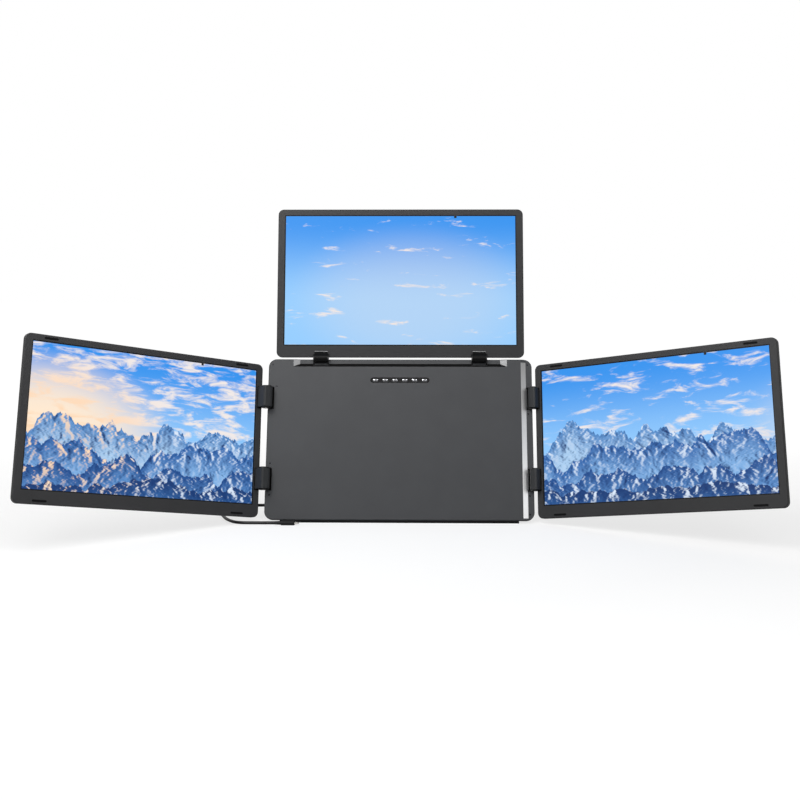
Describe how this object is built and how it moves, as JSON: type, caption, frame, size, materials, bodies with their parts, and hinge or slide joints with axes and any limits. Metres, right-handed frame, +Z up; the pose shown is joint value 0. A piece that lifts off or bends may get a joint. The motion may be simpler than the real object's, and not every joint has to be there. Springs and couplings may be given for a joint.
{
  "type": "laptop screen extender",
  "caption": "Triple folding portable monitor on a leaning hub panel with a kickstand, button bar, friction hinges and a cable.",
  "frame": {"origin": "centre of the flat underside of the rubber foot strip, on the table under the hub", "axes": "+Z up, -Y towards the viewer in front of the screens, +X to the viewer's right along the hub"},
  "size_m": [1.1025, 0.4047, 0.5013],
  "materials": {
    "hub_housing": "fine moulded texture",
    "screen_housing": "fine moulded texture",
    "hinge_cover": "satin moulded",
    "hinge_steel": "black coated steel",
    "pin_steel": "turned",
    "display_glass": "anti-glare",
    "light_guide": "clear moulded",
    "circuit_board": "solder mask",
    "rubber": "matt",
    "button_gloss": "polished",
    "inlay_gloss": "polished",
    "bright_strip": "satin anodised",
    "chassis_steel": "zinc plated sheet",
    "screw_black": "black oxide",
    "plug_steel": "nickel plated",
    "kickstand_metal": "dark anodised sheet",
    "cable_jacket": "satin",
    "plug_moulding": "satin moulded"
  },
  "bodies": {
    "hub": {"cable": "cable_jacket", "cable_host_plug": "plug_moulding", "cable_host_plug_tip": "plug_steel", "cable_hub_plug": "plug_moulding", "cable_hub_plug_tip": "plug_steel", "hub_button_board": "circuit_board", "hub_button_inlay": "inlay_gloss", "hub_chassis_plate": "chassis_steel", "hub_edge_strip": "bright_strip", "hub_foot_strip": "rubber", "hub_front_cover": "hub_housing", "hub_front_screws": "screw_black", "hub_main_board": "circuit_board", "hub_port_shells": "plug_steel", "hub_rear_cover": "hub_housing", "kickstand_hinge_blocks": "hinge_steel", "kickstand_hinge_pins": "pin_steel", "left_hinge_brackets": "hinge_steel", "left_hinge_pins": "pin_steel", "right_hinge_brackets": "hinge_steel", "right_hinge_pins": "pin_steel", "top_hinge_brackets": "hinge_steel", "top_hinge_pins": "pin_steel"},
    "left_screen": {"left_back_cover": "screen_housing", "left_bezel": "screen_housing", "left_bumpers": "rubber", "left_display_panel": "display_glass", "left_driver_board": "circuit_board", "left_hinge_arms": "hinge_steel", "left_hinge_covers": "hinge_cover", "left_light_guide": "light_guide"},
    "right_screen": {"right_back_cover": "screen_housing", "right_bezel": "screen_housing", "right_bumpers": "rubber", "right_display_panel": "display_glass", "right_driver_board": "circuit_board", "right_hinge_arms": "hinge_steel", "right_hinge_covers": "hinge_cover", "right_light_guide": "light_guide"},
    "top_screen": {"top_back_cover": "screen_housing", "top_bezel": "screen_housing", "top_display_panel": "display_glass", "top_driver_board": "circuit_board", "top_hinge_arms": "hinge_steel", "top_hinge_covers": "hinge_cover", "top_light_guide": "light_guide"},
    "kickstand": {"kickstand_plate": "kickstand_metal", "kickstand_foot_bar": "rubber"},
    "button_1": {"button_1": "button_gloss"},
    "button_2": {"button_2": "button_gloss"},
    "button_3": {"button_3": "button_gloss"},
    "button_4": {"button_4": "button_gloss"},
    "button_5": {"button_5": "button_gloss"},
    "button_6": {"button_6": "button_gloss"}
  },
  "joints": [
    {"name": "left_fold", "type": "hinge", "parent": "hub", "child": "left_screen", "pos_m": [-0.2163, 0.01796, 0.1336], "axis": [0, 0.2588, 0.9659], "range_deg": [-39, 141]},
    {"name": "right_fold", "type": "hinge", "parent": "hub", "child": "right_screen", "pos_m": [0.2158, 0.02274, 0.13232], "axis": [0, -0.2588, -0.9659], "range_deg": [-34.5, 145.5]},
    {"name": "top_fold", "type": "hinge", "parent": "hub", "child": "top_screen", "pos_m": [0, 0.06101, 0.25603], "axis": [1, 0, 0], "range_deg": [-8, 172]},
    {"name": "kickstand_swing", "type": "hinge", "parent": "hub", "child": "kickstand", "pos_m": [0, 0.06921, 0.19544], "axis": [1, 0, 0], "range_deg": [-25, 0]},
    {"name": "button_1_press", "type": "slide", "parent": "hub", "child": "button_1", "axis": [0, 0.9659, -0.2588], "range_m": [0, 0.0006], "stiffness_N_per_m": 1500, "springref_m": -0.0004},
    {"name": "button_2_press", "type": "slide", "parent": "hub", "child": "button_2", "axis": [0, 0.9659, -0.2588], "range_m": [0, 0.0006], "stiffness_N_per_m": 1500, "springref_m": -0.0004},
    {"name": "button_3_press", "type": "slide", "parent": "hub", "child": "button_3", "axis": [0, 0.9659, -0.2588], "range_m": [0, 0.0006], "stiffness_N_per_m": 1500, "springref_m": -0.0004},
    {"name": "button_4_press", "type": "slide", "parent": "hub", "child": "button_4", "axis": [0, 0.9659, -0.2588], "range_m": [0, 0.0006], "stiffness_N_per_m": 1500, "springref_m": -0.0004},
    {"name": "button_5_press", "type": "slide", "parent": "hub", "child": "button_5", "axis": [0, 0.9659, -0.2588], "range_m": [0, 0.0006], "stiffness_N_per_m": 1500, "springref_m": -0.0004},
    {"name": "button_6_press", "type": "slide", "parent": "hub", "child": "button_6", "axis": [0, 0.9659, -0.2588], "range_m": [0, 0.0006], "stiffness_N_per_m": 1500, "springref_m": -0.0004}
  ]
}
